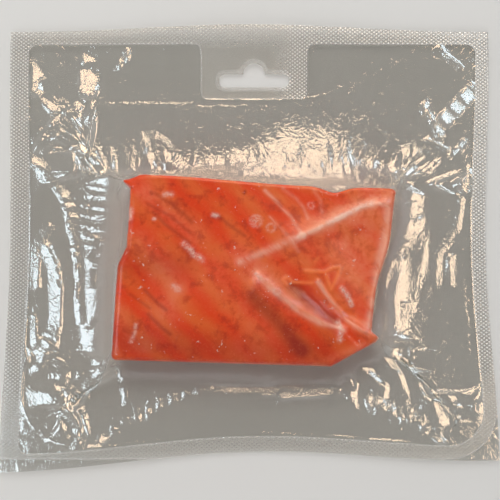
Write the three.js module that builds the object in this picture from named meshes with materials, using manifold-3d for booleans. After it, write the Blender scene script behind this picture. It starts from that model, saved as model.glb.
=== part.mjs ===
// A vacuum pack holding one frozen block of salmon fillet, lying on its flat web.
// Millimetres. +X runs to the pack's right, +Y towards its hang slot and +Z up.
// The origin is under the middle of the pack, on the surface it lies on.
import * as THREE from 'three';
import { mergeVertices } from 'three/addons/utils/BufferGeometryUtils.js';
import Module from 'manifold-3d';

const wasm = await Module();
wasm.setup();

// ---- driving dimensions ------------------------------------------------------------

// The pack's four corners, and how far each edge bows out (+) or in (-) between them.
const PACK_CORNERS = { left: -99.6, right: 99.6, top: 89.0, bottomLeft: -91.3, bottomRight: -86.6 };
const PACK_BOWS = { top: 2.3, right: -3.3, bottom: -5.7, left: -2.0 };
// The inner edge of the seal band, which bounds the formed pocket.
const POCKET_CORNERS = { left: -92.0, right: 94.2, top: 83.7, bottomLeft: -84.3, bottomRight: -81.0 };
const POCKET_BOWS = { top: 0, right: -3.3, bottom: -5.2, left: -2.0 };
const POCKET_RADIUS = 4;
const PEEL_CORNER_RADIUS = 15;
// Across the peel corner the seal is a band of this width round the pocket's corner.
const PEEL_SEAL_WIDTH = 5;

const FILM = 1.0; // both webs and the air left between them
const SEAL_RELIEF = 0.4; // how far the pressed seal stands over the film
const SEAL_EDGE_SHARE = 0.06; // of the seal band, for the step up to it

// The fillet block, seen from above.
const FILLET_CENTRE = new THREE.Vector2(1, -12);
const FILLET_TOP_LEFT = new THREE.Vector2(-49.5, 26.5);
const FILLET_TOP_RIGHT = new THREE.Vector2(58, 20.5);
const FILLET_BOTTOM_RIGHT = new THREE.Vector2(51.5, -45);
const FILLET_BOTTOM_LEFT = new THREE.Vector2(-54.5, -47);
const FILLET_RADII = { topLeft: 5, topRight: 4, bottomRight: 13, bottomLeft: 5 };
const FILLET_HEIGHT = 17; // over the film

// Where the film, drawn down off the fillet, meets the lower web.
const FOOT_TOP_LEFT = new THREE.Vector2(-72, 45);
const FOOT_TOP_RIGHT = new THREE.Vector2(75, 43);
const FOOT_BOTTOM_RIGHT = new THREE.Vector2(74, -63);
const FOOT_BOTTOM_LEFT = new THREE.Vector2(-67, -66);
const FOOT_RADIUS = 10;

// The sealed tab with its hang slot, a standard 31.75 mm wide outside its pressed rim.
const TAB = { left: -20, right: 24, bottom: 61, top: 84.4, radius: 2.5 };
const SLOT_CENTRE_X = 2;
const SLOT_BASE_Y = 65.6;
const SLOT_RIM = { width: 31.75, wing: 7.1, height: 12.7, crown: 6.0 };
const SLOT_HOLE = { width: 29.0, wing: 5.6, height: 10.2, crown: 4.5 };
const RIM_RELIEF = 0.3;

// Outside this share of the way to the edge the pack lifts off the surface.
const FLAT_SHARE = 0.6;
const LIFT = { all: 2.0, top: 2.2, bottom: 0.8, wave: 0.7, waves: 5 };

const CELLS = 44; // along each side of the net that the film is made from

// ---- outlines ----------------------------------------------------------------------

const bump = (a) => Math.sin(Math.PI * a) ** 2;
const dent = (a, depth, at, width) => -depth * Math.exp(-(((a - at) / width) ** 2));

// A four-sided outline as a function of a point (s, t) on the edge of the unit square.
// Each side bows out by its own function of the way along it, left to right or upwards.
function outline(corners, radii, bows) {
  return (s, t) => {
    const level = Math.abs(t) >= Math.abs(s);
    const [a, b, bow] = level
      ? t > 0
        ? [corners.topLeft, corners.topRight, bows.top]
        : [corners.bottomLeft, corners.bottomRight, bows.bottom]
      : s > 0
        ? [corners.bottomRight, corners.topRight, bows.right]
        : [corners.bottomLeft, corners.topLeft, bows.left];
    const along = ((level ? s : t) + 1) / 2;
    const point = a.clone().lerp(b, along);
    const out = new THREE.Vector2(level ? 0 : Math.sign(s), level ? Math.sign(t) : 0);
    const name = (t > 0 ? 'top' : 'bottom') + (s > 0 ? 'Right' : 'Left');
    const corner = corners[name];
    const radius = radii[name];
    const away = point.distanceTo(corner);
    if (away < radius) {
      const turn = (1 - away / radius) * (Math.PI / 4);
      const side = new THREE.Vector2(Math.sign(s), Math.sign(t));
      const centre = corner.clone().addScaledVector(side, -radius);
      const reach = level ? [Math.sin(turn), Math.cos(turn)] : [Math.cos(turn), Math.sin(turn)];
      point.set(centre.x + side.x * radius * reach[0], centre.y + side.y * radius * reach[1]);
    }
    return point.addScaledVector(out, bow(along));
  };
}

function rectangular({ left, right, top, bottomLeft, bottomRight }) {
  return {
    topLeft: new THREE.Vector2(left, top),
    topRight: new THREE.Vector2(right, top),
    bottomRight: new THREE.Vector2(right, bottomRight),
    bottomLeft: new THREE.Vector2(left, bottomLeft),
  };
}

const evenRadii = (radius, bottomRight = radius) => ({
  topLeft: radius,
  topRight: radius,
  bottomLeft: radius,
  bottomRight,
});

const bowed = (bows) => ({
  top: (a) => bows.top * bump(a),
  right: (a) => bows.right * bump(a),
  bottom: (a) => bows.bottom * bump(a),
  left: (a) => bows.left * bump(a),
});

const packEdge = outline(rectangular(PACK_CORNERS), evenRadii(0), bowed(PACK_BOWS));
const pocketEdge = outline(
  rectangular(POCKET_CORNERS),
  evenRadii(POCKET_RADIUS, PEEL_CORNER_RADIUS),
  bowed(POCKET_BOWS),
);
const footEdge = outline(
  {
    topLeft: FOOT_TOP_LEFT,
    topRight: FOOT_TOP_RIGHT,
    bottomRight: FOOT_BOTTOM_RIGHT,
    bottomLeft: FOOT_BOTTOM_LEFT,
  },
  evenRadii(FOOT_RADIUS),
  bowed({ top: -4, right: -5, bottom: -5, left: -3 }),
);
const filletEdge = outline(
  {
    topLeft: FILLET_TOP_LEFT,
    topRight: FILLET_TOP_RIGHT,
    bottomRight: FILLET_BOTTOM_RIGHT,
    bottomLeft: FILLET_BOTTOM_LEFT,
  },
  FILLET_RADII,
  {
    top: (a) => dent(a, 2.8, 0.84, 0.09) + 1.2 * Math.exp(-(((a - 0.1) / 0.07) ** 2)),
    right: (a) => dent(a, 2.0, 0.3, 0.2),
    bottom: (a) => 2.4 * bump(a),
    left: (a) => dent(a, 2.6, 0.64, 0.2),
  },
);
const filletMiddle = () => FILLET_CENTRE.clone();

// ---- the net of rings, from the fillet's middle out to the pack's edge -----------------

// Each ring lies some share of the way from one outline to the next. Its height is a share
// of the fillet's, and then of the seal's relief.
const ring = (inner, outer, share, height, seal = 0) => ({ inner, outer, share, height, seal });
const RINGS = [
  ...[0, 0.18, 0.36, 0.53, 0.68, 0.8, 0.885].map((share) => ring(filletMiddle, filletEdge, share, 1)),
  ring(filletMiddle, filletEdge, 0.945, 0.965),
  ring(filletMiddle, filletEdge, 0.985, 0.86),
  ring(filletEdge, footEdge, 0, 0.64),
  ...[0.03, 0.12, 0.27, 0.47, 0.72, 1].map((share) =>
    ring(filletEdge, footEdge, share, 0.42 * (1 - share) ** 2.6),
  ),
  ...[0.35, 0.68, 0.9, 1].map((share) => ring(footEdge, pocketEdge, share, 0)),
  ring(pocketEdge, packEdge, SEAL_EDGE_SHARE, 0, 1),
  ring(pocketEdge, packEdge, 0.5, 0, 1),
  ring(pocketEdge, packEdge, 1, 0, 0.6),
];

// The folds and hollows of the block's upper face, each a soft ridge from one point to another.
const FLESH_FOLDS = [
  { from: [18, 1], to: [56, 13], height: 1.5, width: 5 },
  { from: [5, -18], to: [38, -35], height: 1.2, width: 5 },
  { from: [38, -35], to: [50, -38], height: 1.4, width: 4 },
  { from: [22, -24], to: [38, -26], height: -2.2, width: 6 },
  { from: [40, -2], to: [46, -18], height: -1.0, width: 6 },
  { from: [-45, 15], to: [-52, -35], height: 0.8, width: 6 },
];

function distanceToSegment(point, from, to) {
  const a = new THREE.Vector2(...from);
  const span = new THREE.Vector2(...to).sub(a);
  const way = THREE.MathUtils.clamp(point.clone().sub(a).dot(span) / span.lengthSq(), 0, 1);
  return point.distanceTo(a.addScaledVector(span, way));
}

function fleshRelief(point) {
  let relief = 0.5 * Math.sin(point.x / 11 + 0.6) * Math.cos(point.y / 9);
  for (const fold of FLESH_FOLDS) {
    const away = distanceToSegment(point, fold.from, fold.to) / fold.width;
    relief += fold.height * Math.exp(-away * away);
  }
  return relief;
}

// Outside the peel corner's seal the two webs are loose, so they have no relief.
const PEEL_CENTRE = new THREE.Vector2(
  POCKET_CORNERS.right - PEEL_CORNER_RADIUS,
  POCKET_CORNERS.bottomRight + PEEL_CORNER_RADIUS,
);
function isPeelFlap(point) {
  const beyond = point.x > PEEL_CENTRE.x && point.y < PEEL_CENTRE.y;
  return beyond && point.distanceTo(PEEL_CENTRE) > PEEL_CORNER_RADIUS + PEEL_SEAL_WIDTH;
}

function filmNet() {
  const geometry = new THREE.BoxGeometry(2, 2, 2, CELLS, CELLS, 1);
  const position = geometry.attributes.position;
  const half = CELLS / 2;
  for (let i = 0; i < position.count; i += 1) {
    const column = Math.round(position.getX(i) * half);
    const row = Math.round(position.getY(i) * half);
    const number = Math.max(Math.abs(column), Math.abs(row));
    const { inner, outer, share, height, seal } = RINGS[number];
    const s = number ? column / number : 0;
    const t = number ? row / number : 0;
    const point = inner(s, t).lerp(outer(s, t), share);
    const above = position.getZ(i) > 0;
    const pressed = isPeelFlap(point) ? 0 : seal * SEAL_RELIEF;
    const flesh = FILLET_HEIGHT + fleshRelief(point);
    position.setXYZ(i, point.x, point.y, above ? FILM + height * flesh + pressed : 0);
  }
  return geometry;
}

// ---- pleats that the film drew into as the air left -------------------------------------

// A low ridge along a bent line. It is highest where it starts and fades to its far end,
// or fades to both ends.
function pleat({ from, via, to, height, width, bothEnds = false }) {
  const steps = 6;
  const section = new THREE.Shape();
  section.moveTo(-1, 0);
  section.quadraticCurveTo(-0.25, 0.2, 0, 1);
  section.quadraticCurveTo(0.25, 0.2, 1, 0);
  const geometry = new THREE.ExtrudeGeometry(section, {
    depth: 1,
    steps,
    bevelEnabled: false,
    curveSegments: 2,
  });
  const line = new THREE.QuadraticBezierCurve(
    new THREE.Vector2(...from),
    new THREE.Vector2(...via),
    new THREE.Vector2(...to),
  );
  const position = geometry.attributes.position;
  for (let i = 0; i < position.count; i += 1) {
    const way = position.getZ(i);
    const centre = line.getPoint(way);
    const heading = line.getTangent(way);
    const size = 0.06 + 0.94 * (bothEnds ? bump(way) : (1 - way) ** 1.4);
    const aside = position.getX(i) * width * (0.3 + 0.7 * size);
    const rise = position.getY(i) * (FILM + height * size - PLEAT_ROOT);
    position.setXYZ(i, centre.x - heading.y * aside, centre.y + heading.x * aside, PLEAT_ROOT + rise);
  }
  return geometry;
}
const PLEAT_ROOT = 0.3; // the foot of each pleat, inside the film

const PLEATS = [
  // From the block's top left corner.
  { from: [-47, 24], via: [-58, 42], to: [-71, 57], height: 7, width: 4 },
  { from: [-49, 22], via: [-66, 27], to: [-86, 39], height: 6, width: 4 },
  { from: [-46, 25], via: [-46, 38], to: [-41, 49], height: 5, width: 3.5 },
  { from: [-80, 46], via: [-78, 32], to: [-56, 23], height: 3, width: 2.5, bothEnds: true },
  { from: [-88, 38], via: [-76, 24], to: [-71, -20], height: 2, width: 2.5, bothEnds: true },
  // From its bottom left corner.
  { from: [-53, -45], via: [-66, -56], to: [-80, -68], height: 7, width: 4 },
  { from: [-52, -46], via: [-56, -58], to: [-51, -67], height: 5, width: 3 },
  { from: [-53, -43], via: [-68, -46], to: [-84, -49], height: 4, width: 3.5 },
  { from: [-80, -66], via: [-76, -74], to: [-71, -82], height: 2.5, width: 2.5, bothEnds: true },
  { from: [-68, -84], via: [-52, -64], to: [-20, -60], height: 2, width: 2.5, bothEnds: true },
  // From its bottom right corner.
  { from: [46, -43], via: [50, -56], to: [79, -64], height: 7, width: 4 },
  { from: [50, -38], via: [66, -46], to: [82, -60], height: 6, width: 4 },
  { from: [42, -46], via: [44, -54], to: [54, -60], height: 5, width: 3 },
  { from: [70, -62], via: [84, -66], to: [92, -60], height: 2.5, width: 2.5, bothEnds: true },
  { from: [79, -64], via: [78, -74], to: [74, -78], height: 2, width: 2, bothEnds: true },
  // From its top right corner.
  { from: [56, 19], via: [66, 33], to: [78, 46], height: 7, width: 4 },
  { from: [57, 16], via: [72, 20], to: [86, 30], height: 5, width: 4 },
  { from: [52, 20], via: [56, 34], to: [60, 46], height: 4.5, width: 3.5 },
  { from: [78, 48], via: [84, 56], to: [92, 64], height: 3.5, width: 3.5, bothEnds: true },
  { from: [84, 50], via: [92, 36], to: [80, 4], height: 2, width: 2.5, bothEnds: true },
];

// ---- the sealed tab and its hang slot ----------------------------------------------------

function plate(shape, bottom, top) {
  const settings = { depth: top - bottom, bevelEnabled: false, curveSegments: 6 };
  return new THREE.ExtrudeGeometry(shape, settings).translate(0, 0, bottom);
}

// The tab joins the seal band over two small fillets.
function tabShape() {
  const { left, right, bottom, top, radius } = TAB;
  const shape = new THREE.Shape();
  const steps = 5;
  const straight = top - bottom - 2 * radius;
  shape.moveTo(left - radius, top);
  shape.quadraticCurveTo(left, top, left, top - radius);
  for (let i = 1; i <= steps; i += 1) {
    shape.lineTo(left, top - radius - (straight * i) / steps);
  }
  shape.quadraticCurveTo(left, bottom, left + radius, bottom);
  shape.lineTo(right - radius, bottom);
  shape.quadraticCurveTo(right, bottom, right, bottom + radius);
  for (let i = 1; i <= steps; i += 1) {
    shape.lineTo(right, bottom + radius + (straight * i) / steps);
  }
  shape.quadraticCurveTo(right, top, right + radius, top);
  return shape;
}

// A hang slot: a level slot with round ends and a round crown over its middle.
function slotShape({ width, wing, height, crown }, base) {
  const shape = new THREE.Shape();
  const left = SLOT_CENTRE_X - width / 2;
  const right = SLOT_CENTRE_X + width / 2;
  const corner = wing * 0.42;
  const shoulder = base + wing;
  const top = base + height;
  shape.moveTo(left + corner, base);
  shape.lineTo(right - corner, base);
  shape.quadraticCurveTo(right, base, right, base + corner);
  shape.lineTo(right, shoulder - corner);
  shape.quadraticCurveTo(right, shoulder, right - corner, shoulder);
  shape.lineTo(SLOT_CENTRE_X + crown, shoulder);
  shape.quadraticCurveTo(SLOT_CENTRE_X + crown, top, SLOT_CENTRE_X, top);
  shape.quadraticCurveTo(SLOT_CENTRE_X - crown, top, SLOT_CENTRE_X - crown, shoulder);
  shape.lineTo(left + corner, shoulder);
  shape.quadraticCurveTo(left, shoulder, left, shoulder - corner);
  shape.lineTo(left, base + corner);
  shape.quadraticCurveTo(left, base, left + corner, base);
  return shape;
}

// ---- joining and finishing ------------------------------------------------------------

function solid(geometry) {
  geometry.deleteAttribute('normal');
  geometry.deleteAttribute('uv');
  const merged = mergeVertices(geometry, 1e-4);
  return new wasm.Manifold(
    new wasm.Mesh({
      numProp: 3,
      vertProperties: new Float32Array(merged.attributes.position.array),
      triVerts: new Uint32Array(merged.index.array),
    }),
  );
}

function packSolid() {
  let body = solid(filmNet());
  for (const line of PLEATS) {
    body = body.add(solid(pleat(line)));
  }
  const tabTop = FILM + SEAL_RELIEF;
  const rimBase = SLOT_BASE_Y - (SLOT_RIM.wing - SLOT_HOLE.wing) / 2;
  body = body.add(solid(plate(tabShape(), PLEAT_ROOT, tabTop)));
  body = body.add(solid(plate(slotShape(SLOT_RIM, rimBase), PLEAT_ROOT, tabTop + RIM_RELIEF)));
  return body.subtract(solid(plate(slotShape(SLOT_HOLE, SLOT_BASE_Y), -FILM, 3 * FILM)));
}

// The film is a little too long for its frame, so its edges stand off the surface in waves.
function lift(x, y) {
  const across = x / PACK_CORNERS.right;
  const along = y / PACK_CORNERS.top;
  const out = (across ** 4 + along ** 4) ** 0.25;
  const share = THREE.MathUtils.clamp((out - FLAT_SHARE) / (1 - FLAT_SHARE), 0, 1);
  const way = Math.atan2(along, across);
  const upper = Math.max(Math.sin(way), 0) ** 4;
  const lower = Math.max(-Math.sin(way), 0) ** 4;
  const waves = LIFT.wave * Math.sin(LIFT.waves * way);
  return share ** 2 * (LIFT.all + LIFT.top * upper + LIFT.bottom * lower + waves);
}

function finished(body) {
  const mesh = body.getMesh();
  const geometry = new THREE.BufferGeometry();
  const points = new Float32Array(mesh.vertProperties);
  for (let i = 0; i < points.length; i += 3) {
    points[i + 2] += lift(points[i], points[i + 1]);
  }
  geometry.setAttribute('position', new THREE.BufferAttribute(points, 3));
  geometry.setIndex(new THREE.BufferAttribute(new Uint32Array(mesh.triVerts), 1));
  geometry.computeVertexNormals();
  return geometry;
}

const salmonUnderFilm = new THREE.MeshStandardMaterial({
  color: new THREE.Color(0.72, 0.28, 0.15),
  roughness: 0.25,
  metalness: 0,
});

const pack = new THREE.Mesh(finished(packSolid()), salmonUnderFilm);
pack.name = 'sealed_pack';

const model = new THREE.Group();
model.add(pack);

export default model;
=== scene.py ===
# %% [markdown]
# # A vacuum pack of frozen salmon fillet
#
# One block of salmon lies in a clear pocket. The pocket's upper web was formed as a tray, filled,
# emptied of air and sealed to a flat lower web, so it hugs the block and falls into pleats beside it.
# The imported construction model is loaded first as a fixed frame. Everything made here stands in the
# same frame, in metres, with +Z up.

# %% Load the frame
import math

import bpy
import numpy as np
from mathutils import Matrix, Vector, noise
from mathutils.bvhtree import BVHTree


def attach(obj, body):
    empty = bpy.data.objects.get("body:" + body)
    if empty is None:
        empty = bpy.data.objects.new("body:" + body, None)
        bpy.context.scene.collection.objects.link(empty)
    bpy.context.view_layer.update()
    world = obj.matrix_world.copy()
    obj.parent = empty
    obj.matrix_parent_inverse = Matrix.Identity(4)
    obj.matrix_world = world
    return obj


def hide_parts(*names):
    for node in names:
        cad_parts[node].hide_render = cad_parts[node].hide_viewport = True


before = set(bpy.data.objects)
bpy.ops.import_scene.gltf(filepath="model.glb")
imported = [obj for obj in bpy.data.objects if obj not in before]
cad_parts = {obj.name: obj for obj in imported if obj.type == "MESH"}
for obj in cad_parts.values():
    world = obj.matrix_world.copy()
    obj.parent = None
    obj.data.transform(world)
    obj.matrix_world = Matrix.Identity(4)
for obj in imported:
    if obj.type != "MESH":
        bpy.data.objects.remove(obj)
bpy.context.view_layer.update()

MM = 0.001

# %% [markdown]
# ## Working by hand, in code
#
# A Blender operator acts on whatever is selected, and the loaded frame is selected. So each step first
# deselects everything and then picks its own object. Coordinates are handled here as arrays of
# millimetres, because that is how a pack is measured.

# %% Small helpers for selecting, reading and moving points


def pick(*pieces):
    """Selects these objects alone, and makes the first one active."""
    bpy.ops.object.select_all(action="DESELECT")
    for piece in pieces:
        piece.select_set(True)
    bpy.context.view_layer.objects.active = pieces[0]


def read_points(piece, unit=MM):
    """The piece's vertices as an array, in millimetres."""
    flat = np.empty(len(piece.data.vertices) * 3)
    piece.data.vertices.foreach_get("co", flat)
    return flat.reshape(-1, 3) / unit


def write_points(piece, points, unit=MM):
    """Moves the piece's vertices to these places, in millimetres."""
    piece.data.vertices.foreach_set("co", (points * unit).ravel())
    piece.data.update()


def apply_all(piece):
    """Applies every modifier of the piece, in order."""
    pick(piece)
    for modifier in list(piece.modifiers):
        bpy.ops.object.modifier_apply(modifier=modifier.name)


def remove(piece):
    mesh = piece.data
    bpy.data.objects.remove(piece)
    bpy.data.meshes.remove(mesh)


def grid(name, cells):
    """A flat square net, two units wide, of cells by cells faces."""
    bpy.ops.object.select_all(action="DESELECT")
    bpy.ops.mesh.primitive_grid_add(x_subdivisions=cells, y_subdivisions=cells, size=2)
    piece = bpy.context.object
    piece.name = name
    return piece


def edit_edges(piece):
    """Opens the piece for editing by its edges, with nothing selected."""
    pick(piece)
    bpy.ops.object.mode_set(mode="EDIT")
    bpy.ops.mesh.select_mode(type="EDGE")
    bpy.ops.mesh.select_all(action="DESELECT")


def smoothstep(x):
    x = np.clip(x, 0, 1)
    return x * x * (3 - 2 * x)


# %% [markdown]
# ## Where the eye and the bright cards stand
#
# Clear film shows itself mostly by its glints, and a patch of film glints when it faces halfway between
# the eye and something bright. So the camera and the bright cards are placed first. The camera looks
# almost straight down, leaning a little from the near side. Each card hangs 0.9 m away, at a lean from
# the zenith and towards a compass direction, counted from +X.

# %% Place the eye and the cards, in millimetres

CAMERA_DISTANCE = 370.0
CAMERA_LEAN = math.asin(0.099)
CAMERA_TARGET = np.array([0.3, -2.2, 0.0])
EYE = CAMERA_TARGET + CAMERA_DISTANCE * np.array([0, -math.sin(CAMERA_LEAN), math.cos(CAMERA_LEAN)])
CARD_DISTANCE = 900.0
CREAM, COOL, DAY = (1.0, 0.74, 0.50), (0.78, 0.92, 1.0), (1.0, 0.97, 0.93)
CARDS = {
    "cream_far": (41, 88, CREAM),
    "cream_far_low": (70, 88, CREAM),
    "cream_right": (41, 0, CREAM),
    "cool_left": (42, 190, COOL),
    "cool_upper_right": (60, 42, COOL),
}


def direction(lean, towards):
    """The direction that leans from the zenith towards a compass direction, both in degrees."""
    a, b = math.radians(lean), math.radians(towards)
    return np.array([math.sin(a) * math.cos(b), math.sin(a) * math.sin(b), math.cos(a)])


def glinting_slope(spot, card):
    """How far film at this spot must lean, in x and in y, to mirror the card into the eye."""
    here = np.array([*spot, 3.0])
    ways = [place - here for place in (EYE, direction(*CARDS[card][:2]) * CARD_DISTANCE)]
    total = sum(way / np.linalg.norm(way) for way in ways)
    return total[:2] / total[2]


print("eye at", EYE.round(1), "and", len(CARDS), "bright cards")

# %% [markdown]
# ## Outlines
#
# The pack, its pocket and the block are all four-sided, with rounded corners and sides that bow a
# little. One function makes such an outline. It answers for any point on the edge of a square, so a
# square net can be laid on the real shape ring by ring: each ring of the net becomes one outline.

# %% The outlines, in millimetres


def corners(left, right, top, bottom_left, bottom_right):
    return {"tl": (left, top), "tr": (right, top), "br": (right, bottom_right), "bl": (left, bottom_left)}


def at_corner(values, upper, right):
    """For each point, the value that belongs to its corner."""
    choice = np.array([[values["bl"], values["br"]], [values["tl"], values["tr"]]], float)
    return choice[upper.astype(int), right.astype(int)]


def outline(corner, radius, bow):
    """A function from points (s, t) on the edge of the unit square to points on the outline."""

    def at(s, t):
        level, upper, right = np.abs(t) >= np.abs(s), t > 0, s > 0
        along = (np.where(level, s, t) + 1) / 2
        start = at_corner(corner, level & upper, ~level & right)
        end = at_corner(corner, upper | ~level, right | level)
        point = start + (end - start) * along[:, None]
        near, round_by = at_corner(corner, upper, right), at_corner(radius, upper, right)
        away = np.linalg.norm(point - near, axis=1)
        turn = (1 - away / np.maximum(round_by, 1e-9)) * math.pi / 4
        long, short = np.cos(turn), np.sin(turn)
        reach = np.where(level[:, None], np.stack([short, long], 1), np.stack([long, short], 1))
        bent = near - np.sign(np.stack([s, t], 1)) * round_by[:, None] * (1 - reach)
        point = np.where((away < round_by)[:, None], bent, point)
        out = np.stack([~level * np.sign(s), level * np.sign(t)], 1)
        push = np.where(
            level,
            np.where(upper, bow["top"](along), bow["bottom"](along)),
            np.where(right, bow["right"](along), bow["left"](along)),
        )
        return point + out * push[:, None]

    return at


def hump(height, centre=0.5, width=None):
    """A bow of this height: over the whole side, or only round one place on it."""
    if width is None:
        return lambda along: height * np.sin(math.pi * along) ** 2
    return lambda along: height * np.exp(-(((along - centre) / width) ** 2))


def radii(all_round, bottom_right=None):
    """One radius for all corners, or another one at the lower right."""
    other = all_round if bottom_right is None else bottom_right
    return {"tl": all_round, "tr": all_round, "bl": all_round, "br": other}


PACK = {"left": -99.6, "right": 99.6, "top": 89.0, "bottom_left": -91.3, "bottom_right": -86.6}
POCKET = {"left": -92.0, "right": 94.2, "top": 83.7, "bottom_left": -84.3, "bottom_right": -81.0}
PACK_BOW = {"top": 2.3, "right": -3.3, "bottom": -5.7, "left": -2.0}
POCKET_BOW = {"top": 0.0, "right": -3.3, "bottom": -5.2, "left": -2.0}
POCKET_RADIUS = 4.0
PEEL_RADIUS = 15.0
PEEL_SEAL = 5.0
FILLET_CORNER = {"tl": (-50.0, 24.2), "tr": (58.0, 20.6), "br": (50.6, -38.8), "bl": (-53.6, -46.4)}
FILLET_RADIUS = {"tl": 0.8, "tr": 2.0, "br": 1.5, "bl": 2.0}
FILLET_CENTRE = np.array([1.0, -12.0])
FILLET_TOP = 18.0


def bowed(bow):
    """A plain bow for each side."""
    return {side: hump(height) for side, height in bow.items()}


pack_edge = outline(corners(**PACK), radii(0.0), bowed(PACK_BOW))
pocket_edge = outline(corners(**POCKET), radii(POCKET_RADIUS, PEEL_RADIUS), bowed(POCKET_BOW))


def notched_top(along):
    """The upper side: it swells beside the beak at its left end, and is notched near its right end."""
    swell = 2.4 * smoothstep(along / 0.08) * (1 - smoothstep((along - 0.1) / 0.6))
    return swell + hump(-2.4, 0.775, 0.05)(along)


def waisted_left(along):
    """The left side: its upper half stands 3.2 mm back, under the beak."""
    return -3.2 * smoothstep((along - 0.5) / 0.14) * smoothstep((1 - along) / 0.045)


def knee(height, centre):
    """Two straight stretches that meet in one blunt corner."""
    return lambda along: height * np.minimum(along / centre, (1 - along) / (1 - centre))


def hollow_side(along):
    """The right side: it is cut back by 3.4 mm over its lower half, above the thin tip."""
    return -3.4 * smoothstep(along / 0.06) * (1 - smoothstep((along - 0.3) / 0.4))


fillet_side = {"top": notched_top, "right": hollow_side, "bottom": knee(8.8, 0.82), "left": waisted_left}
fillet_edge = outline(FILLET_CORNER, FILLET_RADIUS, fillet_side)


def rings_of(points):
    """For each point of a flat net: its ring from 0 to 1, and where on that ring it stands."""
    ring = np.maximum(np.abs(points[:, 0]), np.abs(points[:, 1]))
    whole = np.where(ring > 1e-6, ring, 1)
    return ring, np.where(ring > 1e-6, points[:, 0] / whole, 1), points[:, 1] / whole


# %% [markdown]
# ## How far a point is from a seal
#
# The pressed seal runs round the pack and round the tab that carries the hang slot. Several steps need
# to know how deep inside the loose window, the seal or the slot a point lies. A signed distance answers
# that: positive inside, negative outside, zero on the edge. Kept on the vertices, it stays sharp when
# it is read between them.

# %% Signed distances, in millimetres

TAB = {"left": -20.0, "right": 24.0, "bottom": 61.0, "radius": 2.5}
TAB_CORNER = 3.5
SLOT_X = 2.0
SLOT_BASE = 65.7
SLOT_WIDTH = 29.0
SLOT_WING = 5.6
SLOT_CROWN = 4.5
SLOT_ROUNDING = SLOT_WING * 0.42


def box_depth(x, y, centre, half, radius):
    """Depth inside a level box with round corners."""
    out_x = np.abs(x - centre[0]) - half[0] + radius
    out_y = np.abs(y - centre[1]) - half[1] + radius
    outside = np.hypot(np.maximum(out_x, 0), np.maximum(out_y, 0))
    return radius - outside - np.minimum(np.maximum(out_x, out_y), 0)


def corner_depth(a, b, radius):
    """Depth beside two edges that meet in a round corner."""
    inside = radius - np.hypot(radius - np.minimum(a, radius), radius - np.minimum(b, radius))
    return np.where((a < radius) & (b < radius), inside, np.minimum(a, b))


def share_along(value, low, high):
    """How far the value is from low to high, from 0 to 1."""
    return np.clip((value - low) / (high - low), 0, 1)


def side_depths(x, y):
    """Depth inside the pocket's left, right and bottom edges."""
    up = share_along(y, POCKET["bottom_left"], POCKET["top"])
    across = share_along(x, POCKET["left"], POCKET["right"])
    bow = bowed(POCKET_BOW)
    sag = POCKET["bottom_left"] + (POCKET["bottom_right"] - POCKET["bottom_left"]) * across
    left = x - POCKET["left"] + bow["left"](up)
    right = POCKET["right"] + bow["right"](up) - x
    return left, right, y - sag + bow["bottom"](across)


def window_depth(x, y, tab_corner=0.0):
    """Depth inside the window of loose film. Its corners beside the tab may be rounded."""
    left, right, bottom = side_depths(x, y)
    depth = corner_depth(np.minimum(left, right), POCKET["top"] - y, POCKET_RADIUS)
    depth = np.minimum(depth, corner_depth(left, bottom, POCKET_RADIUS))
    depth = np.minimum(depth, corner_depth(right, bottom, PEEL_RADIUS))
    tab_top = POCKET["top"] + 10
    centre = ((TAB["left"] + TAB["right"]) / 2, (TAB["bottom"] + tab_top) / 2)
    half = ((TAB["right"] - TAB["left"]) / 2, (tab_top - TAB["bottom"]) / 2)
    return corner_depth(depth, -box_depth(x, y, centre, half, TAB["radius"]), tab_corner)


PEEL_CENTRE = (POCKET["right"] - PEEL_RADIUS, POCKET["bottom_right"] + PEEL_RADIUS)


def seal_depth(x, y):
    """Depth inside the pressed seal. It leaves the peel flap at one corner free."""
    reach = np.hypot(np.maximum(x - PEEL_CENTRE[0], 0), np.maximum(PEEL_CENTRE[1] - y, 0))
    return np.minimum(-window_depth(x, y, TAB_CORNER), PEEL_RADIUS + PEEL_SEAL - reach)


def slot_depth(x, y):
    """Depth inside the hang slot: a level slot with a round crown over its middle."""
    centre = (SLOT_X, SLOT_BASE + SLOT_WING / 2)
    wings = box_depth(x, y, centre, (SLOT_WIDTH / 2, SLOT_WING / 2), SLOT_ROUNDING)
    crown = SLOT_CROWN - np.hypot(x - SLOT_X, y - SLOT_BASE - SLOT_WING)
    return np.maximum(wings, crown)


middles = np.array([[-1, 0], [1, 0], [0, 1], [0, -1]], float).T
seal_widths = np.abs(pack_edge(*middles) - pocket_edge(*middles)).max(axis=1)
print("seal width in mm at the left, right, top and bottom:", seal_widths.round(1))

# %% [markdown]
# ## Marks on the flesh
#
# Salmon shows its muscle: slanting blocks of orange flesh between pale sheets of fat. Frozen and pressed
# by the film, this block also has folds near its thin end. Each fold or sheet is one short line of
# points with a strength and a width. A mark's strength falls off smoothly with the distance from its
# line.

# %% Lines drawn on the flesh, in millimetres


def line_distance(points, line):
    """The distance from each point to a line of straight stretches."""
    best = np.full(len(points), 1e9)
    for start, end in zip(line[:-1], line[1:]):
        a, b = np.array(start, float), np.array(end, float)
        span = b - a
        way = np.clip((points - a) @ span / (span @ span), 0, 1)
        best = np.minimum(best, np.linalg.norm(points - a - way[:, None] * span, axis=1))
    return best


def drawn(points, marks):
    """The sum of the marks (strength, width, line) at each point."""
    total = np.zeros(len(points))
    for strength, width, line in marks:
        total += strength * np.exp(-((line_distance(points, line) / width) ** 2))
    return total


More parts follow.
